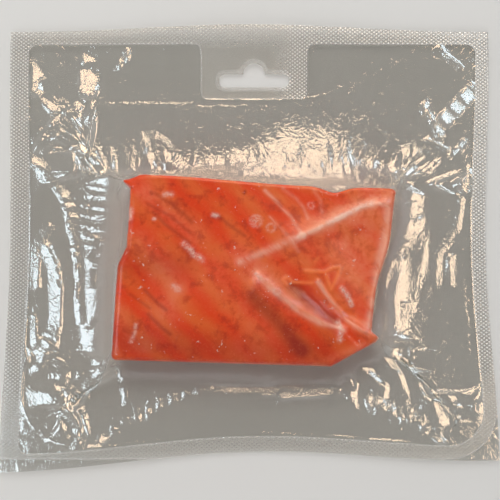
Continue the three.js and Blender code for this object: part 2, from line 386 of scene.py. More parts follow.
CURL = [(29.5, -12.7), (32.6, -11.1), (35.3, -10.7), (34.5, -13.8), (31.8, -19.3), (29.5, -12.7)]
BROAD_FOLDS = [
    (1.3, 5.0, [(18, 1), (56, 13)]),
    (1.0, 5.0, [(5, -18), (38, -35)]),
    (1.2, 4.0, [(38, -35), (50, -38)]),
    (-1.8, 5.5, [(22, -23), (38, -30)]),
    (-0.9, 6.0, [(40, -2), (46, -18)]),
    (0.7, 6.0, [(-45, 15), (-52, -35)]),
]
SHARP_FOLDS = [
    (0.9, 1.6, [(19.8, 1.1), (27.7, 4.6), (35.5, 8.5), (43.4, 12.5), (53.2, 14.4)]),
    (0.35, 2.0, [(-3.6, -8.7), (8.1, -4), (19.8, 1.1)]),
    (0.7, 1.5, [(3.4, -14.2), (13.9, -23.5), (27.4, -32.4), (37, -35.1)]),
    (-0.9, 1.6, [(21.7, -19.7), (26.7, -24.3), (31.3, -30.5), (38.9, -36.7), (44.7, -40.9)]),
    (0.8, 1.2, [(26.7, -16.5), (31.3, -23.5), (37.1, -30.5), (42.8, -35.1), (48.6, -38.2)]),
    (0.3, 0.9, [(21, -12.2), *CURL]),
    (0.3, 0.9, [(14.3, -17.3), (13.1, -15.8), (14.7, -14.6), (16.6, -16.5), (19.7, -16.9), (24.4, -16.9)]),
    (0.3, 0.9, [(36, -18.9), (38.3, -22), (39.8, -25.5), (36.8, -21.6), (36, -18.9)]),
    (0.3, 0.9, [(34.4, -32), (35.5, -35.1), (35.1, -39)]),
]


def flesh_relief(points):
    """How far the block's upper face stands over or under its mean height."""
    swell = 0.5 * np.sin(points[:, 0] / 11 + 0.6) * np.cos(points[:, 1] / 9)
    return swell + drawn(points, BROAD_FOLDS) + drawn(points, SHARP_FOLDS)


# %% [markdown]
# ## The block of salmon
#
# The block is a thick slab, cut square, with its upper edge softly rounded. Its top is a square net laid
# on the outline; the sides are extruded down from the net's edge and the underside is closed with one
# face, as one would model it by hand.

# %% Build the block

SHOULDER_INSET = 0.955
SHOULDER_START = 0.90
SHOULDER_DROP = 2.6
BLOCK_CELLS = 190
SIDE_STEPS = [(3.0, 1.010), (4.5, 1.0), (3.6, 0.985), (1.6, 0.965)]


def block_net(points):
    """Lays a flat square net over the block's top and down round its shoulder."""
    ring, s, t = rings_of(points)
    edge = fillet_edge(s, t)
    inner = FILLET_CENTRE + (edge - FILLET_CENTRE) * SHOULDER_INSET
    over = np.clip(ring / SHOULDER_START, 0, 1)
    past = share_along(ring, SHOULDER_START, 1)
    turn = past[:, None] * math.pi / 2
    flat = FILLET_CENTRE + (inner - FILLET_CENTRE) * over[:, None]
    place = np.where(past[:, None] > 0, inner + (edge - inner) * np.sin(turn), flat)
    height = FILLET_TOP - SHOULDER_DROP * (1 - np.cos(turn[:, 0]))
    return np.column_stack([place, height + flesh_relief(place) * (1 - 0.65 * smoothstep(past))])


def close_block(piece):
    """Extrudes the net's edge down in steps, and closes the underside."""
    edit_edges(piece)
    bpy.ops.mesh.select_non_manifold()
    for drop, spread in SIDE_STEPS:
        bpy.ops.mesh.extrude_edges_move(TRANSFORM_OT_translate={"value": (0, 0, -drop * MM)})
        bpy.ops.transform.resize(value=(spread, spread, 1))
    bpy.ops.mesh.edge_face_add()
    bpy.ops.mesh.select_all(action="SELECT")
    bpy.ops.mesh.normals_make_consistent(inside=False)
    bpy.ops.object.mode_set(mode="OBJECT")


salmon = grid("frozen_salmon_block", BLOCK_CELLS)
write_points(salmon, block_net(read_points(salmon, 1)))
close_block(salmon)
heights = read_points(salmon)[:, 2]
print("block from", heights.min().round(2), "to", heights.max().round(2), "mm high")

# %% [markdown]
# ## The formed web before the air leaves
#
# The upper web starts as a tray a little taller than the block. Its steep walls stand on the seal and
# have widely rounded corners, and it keeps clear of the tab, which is sealed flat. One net covers block,
# skirt and seal: its rings pass from the block's outline to the pocket's and on to the pack's edge. They
# are spaced evenly over the tray's surface, so the walls have as many points as they need to fold.

# %% Lay out the tray

FILM_CELLS = 132
BLOCK_RING = 0.5
POCKET_RING = 60 / 66
TRAY_HEIGHT = 20.0
TRAY_EXTRA = {"top": 3.0, "right": 1.5}
TRAY_RADIUS = {"tl": 34.0, "tr": 20.0, "br": 26.0, "bl": 26.0}
TRAY_TOP = (62.0, 80.0)
WALL_WIDTH = 4.0
SEAL_HEIGHT = 0.8
SEAL_GRIP = 0.3
ROUGHNESS = 0.1
TRAY_SAMPLES = 160


def tray_height(x, y):
    """The tray's height at each place. Its top edge climbs towards the right, past the tab."""
    left, right, bottom = side_depths(x, y)
    top = TRAY_TOP[0] + (TRAY_TOP[1] - TRAY_TOP[0]) * smoothstep((x - TAB["right"]) / 45) - y
    depth = window_depth(x, y)
    edges = {"t": top, "b": bottom, "l": left, "r": right}
    for name, radius in TRAY_RADIUS.items():
        depth = np.minimum(depth, corner_depth(edges[name[1]], edges[name[0]], radius))
    rise = 1 - (1 - np.clip(depth / WALL_WIDTH, 0, 1)) ** 2
    extra = TRAY_EXTRA["top"] * smoothstep((y - 10) / 20) + TRAY_EXTRA["right"] * smoothstep((x - 40) / 20)
    return SEAL_HEIGHT + (TRAY_HEIGHT + extra - SEAL_HEIGHT) * rise


def even_over_tray(way, block, pocket):
    """Turns shares of the way over the tray's surface into shares of the way seen from above."""
    share = np.linspace(0, 1, TRAY_SAMPLES)
    x, y = (block[:, None, axis] + (pocket - block)[:, None, axis] * share for axis in (0, 1))
    steps = np.sqrt(sum(np.diff(part, axis=1) ** 2 for part in (x, y, tray_height(x, y))))
    walked = np.hstack([np.zeros((len(way), 1)), np.cumsum(steps, axis=1)])
    return np.array([np.interp(w * line[-1], line, share) for w, line in zip(way, walked)])


def film_net(points, along_tray=False):
    """The net's plan: where each point of a flat square net stands, seen from above."""
    ring, s, t = rings_of(points)
    block, pocket, pack = fillet_edge(s, t), pocket_edge(s, t), pack_edge(s, t)
    way = share_along(ring, BLOCK_RING, POCKET_RING)
    if along_tray:
        way = even_over_tray(way, block, pocket)
    over = FILLET_CENTRE + (block - FILLET_CENTRE) * (ring / BLOCK_RING)[:, None]
    skirt = block + (pocket - block) * way[:, None]
    band = pocket + (pack - pocket) * ((ring - POCKET_RING) / (1 - POCKET_RING))[:, None]
    place = np.where((ring > BLOCK_RING)[:, None], skirt, over)
    return ring, np.where((ring > POCKET_RING)[:, None], band, place)


film = grid("vacuum_film", FILM_CELLS)
film_plan = read_points(film, 1)
tray_place = film_net(film_plan, along_tray=True)[1]
loose = window_depth(*tray_place.T)
held = loose <= SEAL_GRIP
rough = np.random.default_rng(4).normal(0, ROUGHNESS, len(film_plan)) * (loose > 0)
tray = np.column_stack([tray_place, tray_height(*tray_place.T) + rough])
print("tray of", len(film_plan), "points,", int(held.sum()), "of them held by the seal")

# %% [markdown]
# ## Let the air out
#
# The pleats are what makes a vacuum pack look real, and cloth simulation makes them the way the pump
# does: the tray is too large for the block, pressure pushes it in, and the spare film gathers into
# folds that run from the block's corners to the pocket's. Blender's cloth keeps at least a millimetre
# from what it hits, so the whole step is done at ten times the size and scaled back.

# %% Simulate the film round the block

SIM = 10 * MM
SIM_FRAMES = 30
CLEARANCE = 0.004
MOULD_CELLS = 84


def obstacle(piece):
    """Makes the piece something that cloth can't pass."""
    pick(piece)
    bpy.ops.object.modifier_add(type="COLLISION")
    piece.collision.thickness_outer = CLEARANCE
    piece.collision.cloth_friction = 0.3


def settle(piece):
    """Runs the cloth simulation on the piece and applies its result."""
    group = piece.vertex_groups.new(name="seal")
    group.add(np.nonzero(held)[0].tolist(), 1.0, "REPLACE")
    cloth = piece.modifiers.new("cloth", "CLOTH")
    web = cloth.settings
    web.quality = 7
    web.mass = 0.15
    web.air_damping = 2.0
    web.tension_stiffness = web.compression_stiffness = 60
    web.shear_stiffness = 30
    web.bending_stiffness = 0.7
    web.tension_damping = web.compression_damping = web.shear_damping = 10
    web.bending_damping = 0.5
    web.vertex_group_mass = "seal"
    web.pin_stiffness = 50
    web.use_pressure = True
    web.uniform_pressure_force = -6.0
    web.time_scale = 0.6
    cloth.collision_settings.collision_quality = 3
    cloth.collision_settings.distance_min = CLEARANCE
    cloth.point_cache.frame_start = 1
    cloth.point_cache.frame_end = SIM_FRAMES
    for number in range(1, SIM_FRAMES + 1):
        bpy.context.scene.frame_set(number)
    apply_all(piece)
    piece.vertex_groups.clear()
    bpy.context.scene.frame_set(1)


write_points(film, tray, SIM)
mould = grid("mould", MOULD_CELLS)
plan = read_points(mould, 1)
lowered = block_net(plan)
lowered[rings_of(plan)[0] > 0.999, 2] = -1
write_points(mould, lowered, SIM)
bpy.ops.mesh.primitive_plane_add(size=4)
ground = bpy.context.object
for piece in (mould, ground):
    obstacle(piece)
settle(film)
write_points(film, read_points(film, SIM))
for piece in (mould, ground):
    remove(piece)
heights = read_points(film)[:, 2]
print("film from", heights.min().round(2), "to", heights.max().round(2), "mm high")

# %% [markdown]
# ## Loose edges
#
# The film is a little too long for its frame, so its edges will stand off the surface in slow waves. The
# rule is written down here, because a fold that is to glint must allow for this slope as well.

# %% The rule for the loose edges

FLAT_SHARE = 0.6
LIFT = {"all": 2.0, "top": 2.2, "bottom": 0.8, "wave": 0.7, "waves": 5}


def lift(x, y):
    """How far the film is lifted here."""
    across, along = x / PACK["right"], y / PACK["top"]
    out = (across**4 + along**4) ** 0.25
    share = share_along(out, FLAT_SHARE, 1)
    way = np.arctan2(along, across)
    upper = np.maximum(np.sin(way), 0) ** 4
    under = np.maximum(-np.sin(way), 0) ** 4
    waves = LIFT["wave"] * np.sin(LIFT["waves"] * way)
    return share**2 * (LIFT["all"] + LIFT["top"] * upper + LIFT["bottom"] * under + waves)


def lift_slope(x, y):
    """How the lift grows in x and in y."""
    return np.array([lift(x + 0.5, y) - lift(x - 0.5, y), lift(x, y + 0.5) - lift(x, y - 0.5)])


print("edges will be lifted by", round(float(lift(0.0, 88.0)), 1), "mm behind the tab")

# %% [markdown]
# ## Calm areas and glinting strips
#
# Where the spare film lies flat on the lower web it is calmed: its height is brought down to the web's.
# A calm area is a share and two opposite corners. On the calm film stand the folds that give this pack
# its face. Each one is a strip along a line, leaning just enough to mirror one of the cards, with steep
# edges that mirror nothing. It is written as its half width, its card, its step and its line. A strip
# leans both ways (step 0), only across its line (-1), or along it in steps of that many millimetres,
# like scales, which gives a ragged row of glints. The skirt above the block is puckered all over.

# %% Calm the flats and lay the strips

TALLEST_FOLD = 6.0
BESIDE_BLOCK = 14.0
CALM_HEIGHT = 0.9
CALM_EDGE = 7.0
LEAST_HEIGHT = 0.45
STRIP_EDGE = 0.9
STRIP_BASE = 1.6
STRIP_FOOT = 0.8
SEAL_MARGIN = 1.5
CALM_AREAS = [
    (0.95, (-95, 58), (-52, 85)),
    (0.97, (-64, 38), (84, 85)),
    (0.95, (-63, 31), (-32, 51)),
    (0.96, (-65, -88), (54, -63)),
    (0.94, (59, -41), (97, 22)),
    (0.95, (70, -58), (97, 22)),
    (0.96, (-92, -44), (-55, 26)),
    (0.95, (-93, -7), (-76, 39)),
    (0.95, (-91, -88), (-78, -49)),
    (0.92, (70, -88), (94, -71)),
    (0.92, (40, -83), (80, -63)),
    (0.96, (63, 28), (98, 85)),
]
STRIPS = [
    (2.2, "cream_far", 0, [(-87.5, 77), (-89, 64)]),
    (2.4, "cream_far", 0, [(-67, 79.5), (-66.5, 71)]),
    (3.7, "cream_far", 0, [(-67, 71), (-67, 65)]),
    (1.2, "cream_far", 0, [(-50, 83), (-51.5, 78.5)]),
    (0.7, "cream_far", 0, [(-52.5, 78.5), (-54, 75)]),
    (1.2, "cream_far", 0, [(-85, 60), (-81, 55.5)]),
    (1.4, "cream_far", 0, [(-81, 50), (-78, 53)]),
    (1.7, "cream_far", 4.6, [(-90, 35.5), (-84, 31), (-78.5, 24.5), (-75, 18.5), (-73, 12.5), (-72, 6)]),
    (1.0, "cream_right", -1, [(-73, 9), (-70.5, -0.5), (-69, -10.5), (-68, -31)]),
    (1.1, "cool_left", -1, [(-85.5, 39), (-81, 47), (-76, 52.5), (-70, 55.5)]),
    (1.8, "cool_left", -1, [(-83, 6.5), (-87.5, -1.5), (-88, -10.5), (-87.5, -17)]),
    (2.4, "cool_left", -1, [(-83.5, -2.5), (-80.5, -9), (-79, -19), (-79, -31), (-80.5, -41.5)]),
    (2.8, "cool_left", 5, [(-82, -39), (-84.5, -44.5), (-86, -49.5)]),
    (1.2, "cool_left", -1, [(-88, -30), (-87, -40.5)]),
    (1.1, "cream_far", 4.2, [(-62.5, 23), (-62.5, 16.5), (-62, 13.5)]),
    (0.7, "cream_far", 4.4, [(-67, 15.5), (-68, 8), (-66.5, 0)]),
    (1.0, "cream_far", 0, [(-60, 3), (-61, -3.5), (-62.5, -7.5)]),
    (0.8, "cream_right", 0, [(-62.5, -10.5), (-64, -18)]),
    (0.9, "cream_right", 0, [(-63, -31), (-64, -35)]),
    (1.2, "cool_left", -1, [(-58.5, -48), (-62.5, -53), (-67, -59), (-71, -63.5)]),
    (1.3, "cool_left", -1, [(-76.5, -67.5), (-72.5, -71), (-69.5, -74.5), (-69.5, -78.5), (-71, -83)]),
    (0.9, "cool_left", -1, [(-53, -49.5), (-51.5, -57.5), (-50, -63.5)]),
    (1.1, "cream_far", 5.5, [
        (-63.5, -83.5), (-58.5, -78.5), (-51.5, -74), (-44.5, -68.5), (-38, -64.5),
        (-29.5, -61.5), (-20, -59.5),
    ]),
    (1.8, "cream_far", -1, [(-20, -59.5), (0.5, -60), (14.5, -59.5)]),
    (2.5, "cream_far", -1, [(12.5, -59.5), (34, -59.5)]),
    (2.8, "cream_far", 4.4, [(50, -63.5), (58.5, -67), (68.5, -71)]),
    (1.2, "cream_far", 0, [(73, -75), (76.5, -80)]),
    (1.4, "cream_right", -1, [(69.5, 9), (66.5, 2.5), (61.5, -3.5), (59, -11.5), (56.5, -21)]),
    (0.7, "cool_left", -1, [(70.5, 3.5), (69.5, -8.5), (68, -21), (66.5, -27.5)]),
    (0.7, "cool_left", -1, [(62.5, -24), (63.5, -36.5), (65.5, -48)]),
    (1.2, "cream_right", -1, [(90.5, 30.5), (88, 19.5), (85.5, 6.5), (81.5, 1), (77.5, -5), (76.5, -16)]),
    (1.5, "cream_right", 0, [(82.5, -6), (83, -16)]),
    (2.6, "cool_upper_right", 6, [(92.5, 63.5), (87, 58), (80.5, 51)]),
    (1.4, "cool_upper_right", 0, [(75.5, 54.5), (77.5, 50), (79, 45.5)]),
    (0.9, "cool_upper_right", 0, [(75, 61), (72.5, 56)]),
    (1.0, "cream_far", 0, [(41.5, 50), (48, 52)]),
    (1.3, "cream_far", -1, [(40, 42), (46.5, 42)]),
    (0.7, "cool_left", -1, [(78, 83), (82, 78), (87.5, 73.5)]),
    (1.6, "cream_far", 0, [(-48, 34.5), (-44.5, 39.5), (-41.5, 47)]),
    (1.2, "cream_far", 0, [(-52.5, 39.5), (-49.5, 35.5), (-46.5, 31.5)]),
    (0.8, "cream_far", 0, [(-41.5, 47), (-37.5, 40), (-36.5, 33)]),
    (0.8, "cream_far", 0, [(-40.5, 47), (-35.5, 43), (-31.5, 40.5)]),
    (1.1, "cream_far", 0, [(-60.5, 29.5), (-57.5, 33), (-55, 39)]),
    (1.1, "cream_far", 0, [(-69, 40.5), (-64.5, 36.5)]),
    (1.3, "cream_far", -1, [(-37.5, 32), (-31, 29.5)]),
    (1.0, "cool_left", -1, [(73.5, 42.5), (78, 40.5), (82.5, 37.5)]),
    (0.9, "cool_left", 0, [(83.5, 37.5), (87, 39.5), (88.5, 42)]),
    (0.7, "cool_upper_right", -1, [(59, 27), (65, 32), (70, 38)]),
    (0.6, "cool_left", -1, [(77.5, 34.5), (72, 29)]),
]
PUCKER = {"height": 0.7, "pitch": 3.0}
BLOCK_MIDDLE, BLOCK_HALF = (2, -10), (57, 37)


def beyond_block(places):
    """How far each place is from the box round the block, in plan."""
    return (np.abs(places[:, :2] - BLOCK_MIDDLE) - BLOCK_HALF).max(axis=1)


def calmed(points, plan):
    """The points with tall folds lowered, and the calm areas brought down and drawn back to their plan."""
    most_high = TALLEST_FOLD + BESIDE_BLOCK * (1 - smoothstep((beyond_block(points) - 5) / 14))
    points = np.column_stack([points[:, :2], most_high * np.tanh(points[:, 2] / most_high)])
    share = np.zeros(len(points))
    for most, low, high in CALM_AREAS:
        inside = most
        for axis in (0, 1):
            inside = inside * smoothstep((points[:, axis] - low[axis]) / CALM_EDGE + 0.5)
            inside = inside * smoothstep((high[axis] - points[:, axis]) / CALM_EDGE + 0.5)
        share = np.maximum(share, inside)
    height = points[:, 2] * (1 - share) + np.minimum(points[:, 2], CALM_HEIGHT) * share
    return np.column_stack([points[:, :2] + (plan - points[:, :2]) * share[:, None], height])


def strip(places, half_width, card, step, line):
    """A leaning strip of film: its height at each place, and how much of it counts there."""
    nearest, height, done = np.full(len(places), 1e9), np.zeros(len(places)), 0.0
    for start, end in zip(line[:-1], line[1:]):
        a, b = np.array(start), np.array(end)
        length = np.linalg.norm(b - a)
        way = (b - a) / length
        side = np.array([-way[1], way[0]])
        along, across = (places - a) @ way, (places - a) @ side
        distance = np.hypot(along - np.clip(along, 0, length), across)
        slope = glinting_slope((a + b) / 2, card) + lift_slope(*(a + b) / 2)
        if step < 0:
            run = np.zeros(len(places))
        elif step == 0:
            run = along - length / 2
        else:
            run = (along + done) % step - step / 2
        closer = distance < nearest
        height = np.where(closer, -(slope @ side) * across - (slope @ way) * run, height)
        nearest = np.minimum(nearest, distance)
        done += length
    foot = STRIP_FOOT * np.hypot(*slope) * half_width
    share = 1 - smoothstep((nearest - half_width) / STRIP_EDGE)
    return foot + height, share * smoothstep(window_depth(*places.T) / SEAL_MARGIN)


def all_strips(places):
    """The height that the strips add at each place, and how much of the place they cover."""
    added, covered = np.zeros(len(places)), np.zeros(len(places))
    for item in STRIPS:
        height, share = strip(places, *item)
        added = added * (1 - share) + height * share
        covered = np.maximum(covered, share)
    return added, covered


def lay_strips(points):
    """The points with every strip laid on them."""
    places = points[:, :2]
    added, covered = all_strips(places)
    lowered = covered * smoothstep((beyond_block(places) - 0.5) / 2)
    base = points[:, 2] * (1 - lowered) + np.minimum(points[:, 2], STRIP_BASE) * lowered
    return np.column_stack([places, np.maximum(base + added, LEAST_HEIGHT)])


def pucker_share(x, y):
    """Where the skirt above the block is puckered."""
    share = smoothstep((y - 25) / 3) * (1 - smoothstep((y - 37) / 5))
    return share * smoothstep((x + 34) / 6) * (1 - smoothstep((x - 52) / 6))


def puckered(points):
    """The points with the skirt above the block puckered."""
    x, y = points[:, 0], points[:, 1]
    share = pucker_share(x, y)
    for index in np.nonzero(share > 0)[0]:
        spot = Vector((x[index], 1.6 * y[index], 0)) / PUCKER["pitch"]
        points[index, 2] += PUCKER["height"] * share[index] * noise.noise(spot)
    return points


# %% [markdown]
# ## Smooth the film and keep it off the flesh
#
# The flats are calmed first. One level of subdivision then rounds the folds, and the strips are laid on
# the finer net. Last, a ray is dropped from above each point near the block, and a point that has sunk
# into the flesh is lifted just clear of it.

# %% Calm, subdivide, lay the strips, and lift what touches the flesh

FILM_GAP = 0.25
SKY = 100.0


def subdivide(piece):
    """Splits each face in four and rounds the folds."""
    modifier = piece.modifiers.new("smooth", "SUBSURF")
    modifier.levels = modifier.render_levels = 1
    modifier.boundary_smooth = "PRESERVE_CORNERS"
    apply_all(piece)


def keep_clear(points, below, gap):
    """Raises the points that lie less than gap over the piece below them."""
    below.data.update()
    tree = BVHTree.FromPolygons(
        [tuple(v.co) for v in below.data.vertices], [tuple(p.vertices) for p in below.data.polygons]
    )
    raised = 0
    for index, (x, y, z) in enumerate(points * MM):
        hit = tree.ray_cast(Vector((x, y, SKY * MM)), Vector((0, 0, -1)))[0]
        if hit is not None and z < hit.z + gap * MM:
            points[index, 2] = hit.z / MM + gap
            raised += 1
    return raised


write_points(film, calmed(read_points(film), tray_place))
subdivide(film)
film_points = puckered(lay_strips(read_points(film)))
print("laid", len(STRIPS), "strips and calmed", len(CALM_AREAS), "areas")
near_block = beyond_block(film_points) < 5
chosen = film_points[near_block]
raised = keep_clear(chosen, salmon, FILM_GAP)
film_points[near_block] = chosen
write_points(film, film_points)
print("raised", raised, "of", int(near_block.sum()), "points over the block")

# %% [markdown]
# ## The lower web
#
# The lower web is one flat sheet under everything. A coarser net is enough for it. Both nets' edges lie
# on the same outline, so the gap between them is bridged, which makes one closed shell.

# %% Add the lower web and close the shell

LOWER_CELLS = 66
LOWER_HEIGHT = 0.25

lower = grid("lower_web", LOWER_CELLS)
lower_ring, lower_place = film_net(read_points(lower, 1))
write_points(lower, np.column_stack([lower_place, np.full(len(lower_ring), LOWER_HEIGHT)]))
pick(lower)
bpy.ops.object.mode_set(mode="EDIT")
bpy.ops.mesh.select_all(action="SELECT")
bpy.ops.mesh.flip_normals()
bpy.ops.object.mode_set(mode="OBJECT")

CLEAR_WEB, LOWER_WEB = 0, 1
web_slots = [bpy.data.materials.new(name) for name in ("clear_web", "lower_web")]
for piece, number in ((film, CLEAR_WEB), (lower, LOWER_WEB)):
    for material in web_slots:
        piece.data.materials.append(material)
    piece.data.polygons.foreach_set("material_index", [number] * len(piece.data.polygons))
pick(film, lower)
bpy.ops.object.join()
edit_edges(film)
bpy.ops.mesh.select_non_manifold()
bpy.ops.mesh.bridge_edge_loops()
bpy.ops.object.mode_set(mode="OBJECT")
below = sum(face.material_index == LOWER_WEB for face in film.data.polygons)
print("shell of", len(film.data.polygons), "faces,", below, "of them in the lower web")

# %% [markdown]
# ## The hang slot
#
# The slot is punched through both webs. A block with rounded ends and a round crown is built from two
# primitives, and a Boolean modifier takes it out of the film.

# %% Punch the slot


def punch():
    """A solid of the slot's shape, standing through both webs."""
    bpy.ops.object.select_all(action="DESELECT")
    bpy.ops.mesh.primitive_cube_add(size=1, location=(SLOT_X * MM, (SLOT_BASE + SLOT_WING / 2) * MM, 0))
    tool = bpy.context.object
    tool.name = "punch"
    tool.scale = (SLOT_WIDTH * MM, SLOT_WING * MM, 20 * MM)
    bpy.ops.object.transform_apply(location=True, rotation=True, scale=True)
    edit_edges(tool)
    bpy.ops.object.mode_set(mode="OBJECT")
    for edge in tool.data.edges:
        a, b = (tool.data.vertices[i].co for i in edge.vertices)
        edge.select = abs(a.z - b.z) > MM
    bpy.ops.object.mode_set(mode="EDIT")
    bpy.ops.mesh.bevel(offset=SLOT_ROUNDING * MM, segments=6)
    bpy.ops.object.mode_set(mode="OBJECT")
    top = (SLOT_X * MM, (SLOT_BASE + SLOT_WING) * MM, 0)
    bpy.ops.mesh.primitive_cylinder_add(vertices=40, radius=SLOT_CROWN * MM, depth=22 * MM, location=top)
    crown = bpy.context.object
    bpy.ops.object.transform_apply(location=True, rotation=True, scale=True)
    join = tool.modifiers.new("join", "BOOLEAN")
    join.operation = "UNION"
    join.object = crown
    apply_all(tool)
    remove(crown)
    return tool


tool = punch()
cut = film.modifiers.new("slot", "BOOLEAN")
cut.operation = "DIFFERENCE"
cut.object = tool
cut.material_mode = "INDEX"
apply_all(film)
remove(tool)
print("film after the cut:", len(film.data.polygons), "faces")

# %% [markdown]
# ## Lift the loose edges
#
# Now the whole shell follows the rule for the loose edges. The block's part of it stays where it is.
# Then the film's materials get what they need to know at each point: the depth inside the seal and the
# slot, where the film hugs the flesh, how hard the seal was pressed with a painted sheen on its right
# side, and where the film is folded.

# %% Lift the edges and keep the film's values

film_points = read_points(film)
x, y = film_points[:, 0], film_points[:, 1]
lifted = lift(x, y)
film_points[:, 2] += lifted
write_points(film, film_points)


def keep_value(piece, name, values):
    """Stores one number for each vertex, for the materials to read."""
    attribute = piece.data.attributes.new(name, "FLOAT", "POINT")
    attribute.data.foreach_set("value", values.astype(np.float32))


def seal_press_and_sheen(x, y):
    """How hazy and dotted the seal is: how hard it was pressed, plus a painted sheen along the right side;
    least along the bottom.
    """
    # Painted sheen: the seal is made hazier and lighter along the right side, where it mirrors the lamps.
    right = 1.9 * smoothstep((x - 70) / 25) * smoothstep((y + 60) / 40)
    top_right = 0.3 * smoothstep((x - 12) / 10) * smoothstep((y - 56) / 6)
    left = 0.25 * smoothstep((-88 - x) / 6) * smoothstep((y + 70) / 20)
    tab = 0.75 * smoothstep((x + 24) / 6) * smoothstep((16 - x) / 8)
    tab = tab * smoothstep((y - 56) / 4) * smoothstep((86 - y) / 6)
    return 0.8 + right + top_right + left - tab - 0.35 * smoothstep((-76 - y) / 8)


hug = smoothstep((film_points[:, 2] - 13.5) / 3)
left_wall = smoothstep((-50 - x) / 2) * (1 - smoothstep((beyond_block(film_points) - 2) / 2.5))
FILM_VALUES = {
    "seal": seal_depth(x, y),
    "slot": slot_depth(x, y),
    "hug": np.maximum(hug, left_wall),
    "press_and_sheen": seal_press_and_sheen(x, y),
    "fold": np.maximum(all_strips(film_points[:, :2])[1], pucker_share(x, y)),
}
for name, values in FILM_VALUES.items():
    keep_value(film, name, values)
print("edges lifted by up to", lifted.max().round(2), "mm;", len(FILM_VALUES), "values kept on the film")

# %% [markdown]
# ## Colour on the flesh
#
# Fine lines of fat, painted shade in the creases and low parts, paler flesh with painted sheen, white
# frost with rings of ice round a few bubbles, painted highlights along the main fold, and a painted glow
# on the curled creases all follow the block. Their strength is kept on its vertices, and the material
# turns it into colour.

# %% Draw the marks: strength, width and line

FLESH_MARKS = {}
# Lines of fat. The lines along the main fold and the broad one down the right edge are painted highlights
# of the wet film.
FLESH_MARKS["fat"] = [
    (0.6, 0.7, [(6.2, 19.6), (11.3, 14.5), (16, 9.3), (19.8, 3), (21.4, 0.7)]),
    (0.5, 0.7, [(13.3, 20.4), (18.3, 16.4), (21.5, 12.5), (23, 8.5)]),
    (0.45, 0.7, [(8.1, 8.9), (12.4, 4.6), (15.9, -0.1), (19, -4.8)]),
    (0.4, 0.7, [(25.4, 19.6), (27.8, 15.7), (28.5, 10.9)]),
    (0.9, 1.1, [(19.8, 1.1), (27.7, 4.6), (35.5, 8.5), (43.4, 12.5), (49.3, 14.1), (53.2, 14.1)]),
    (0.9, 0.8, [(27.7, 4.8), (35.5, 8.8), (43.4, 12.8)]),
    (0.6, 1.5, [(-3.6, -8.7), (8.1, -4), (19.8, 1.1)]),
    (0.8, 1.0, [(3.4, -14.2), (8.1, -18.9), (13.9, -23.5), (19.7, -28.2), (27.4, -32.4), (37, -35.1)]),
    (0.7, 0.7, [(26.7, -16.5), (31.3, -23.5), (37.1, -30.5), (42.8, -35.1), (48.6, -38.2)]),
    (0.6, 1.8, [(54.5, 15), (53, 0), (50, -12), (48, -24), (46, -34)]),
]
# Painted shade: darker lines in the creases between folds, a broad darkening over the lower part, and a
# dark line along the left edge.
FLESH_MARKS["hollow"] = [
    (0.5, 0.8, [(-37, 18.4), (-31.1, 14.5), (-25.1, 9.7), (-22.4, 7)]),
    (0.5, 0.8, [(-37.7, 10.9), (-32.9, 6.2), (-27.8, 2.2), (-23.1, -1.3)]),
    (0.6, 0.8, [(-40.5, -19.7), (-36.1, -24.3), (-32.2, -27.4)]),
    (0.5, 0.8, [(-39.2, -29), (-34.5, -33.6), (-30.6, -36.7)]),
    (1.0, 0.6, [(-1.7, 19.2), (-1.9, 18.4)]),
    (0.8, 0.6, [(-38.6, 18.8), (-38.3, 18.2)]),
    (0.8, 3.2, [(1.7, -22.5), (12.2, -33.0), (20.3, -42.9)]),
    (0.9, 2.4, [(16.9, -18.4), (23.9, -24.3), (33.2, -31.8)]),
    (0.55, 8.0, [(-47.2, -40.3), (-22.7, -42.7), (7.5, -44.9), (28, -44)]),
    (0.35, 6.0, [(-47.6, -9.6), (-26.5, -9.6)]),
    (0.5, 1.3, [(-50.5, -4), (-52.5, -20), (-53.2, -44)]),
    (0.45, 0.7, [(-12.5, 9.9), (-7.8, 5.8), (-1.9, 1.6)]),
    (0.45, 0.7, [(-39.7, 14.1), (-30.8, 9.3), (-23.1, 2.8)]),
    (0.4, 0.7, [(-46.3, -21.3), (-38.6, -26.6)]),
]
# Paler flesh on the left half, and painted sheen on the right half: broad pale washes along the main
# ridge, the right rim and the lower edge, where the wet film shines.
FLESH_MARKS["veil"] = [
    (0.7, 4.0, [(-40, 18), (-29.1, 8.9), (-20.8, 1.8)]),
    (0.8, 5.0, [(-42.6, -1.3), (-34.7, -11.1), (-28.8, -18.9), (-31.9, -27.8)]),
    (0.45, 8.0, [(-13.7, -13.4), (-3.6, -23.5), (4.2, -35.1), (0.3, -42.8)]),
    (0.6, 3.5, [(-50, -29), (-46.1, -37.1), (-40.6, -41.7)]),
    (0.9, 3.5, [(1.5, -13.4), (10, -19.7), (17.4, -26.3)]),
    (0.9, 5.0, [(-3.6, -5.6), (2.6, -11.1), (9.2, -16.2)]),
    (0.8, 3.0, [(8.1, -4), (19.8, 1.1), (35.5, 8), (50, 13)]),
    (1.0, 2.2, [(56.5, 17), (53.5, 0), (51, -12), (49.3, -24), (47.6, -34)]),
    (1.0, 1.8, [(-20, -48.6), (10, -49.2), (29.2, -47.6), (36, -44.6), (44, -41)]),
    (0.9, 10.0, [(46, 10), (42, -18)]),
    (1.1, 3.2, [(27, 6), (35, 10.5), (43, 14.5), (52, 16)]),
    (0.6, 8.0, [(20, -4), (36, -2)]),
]
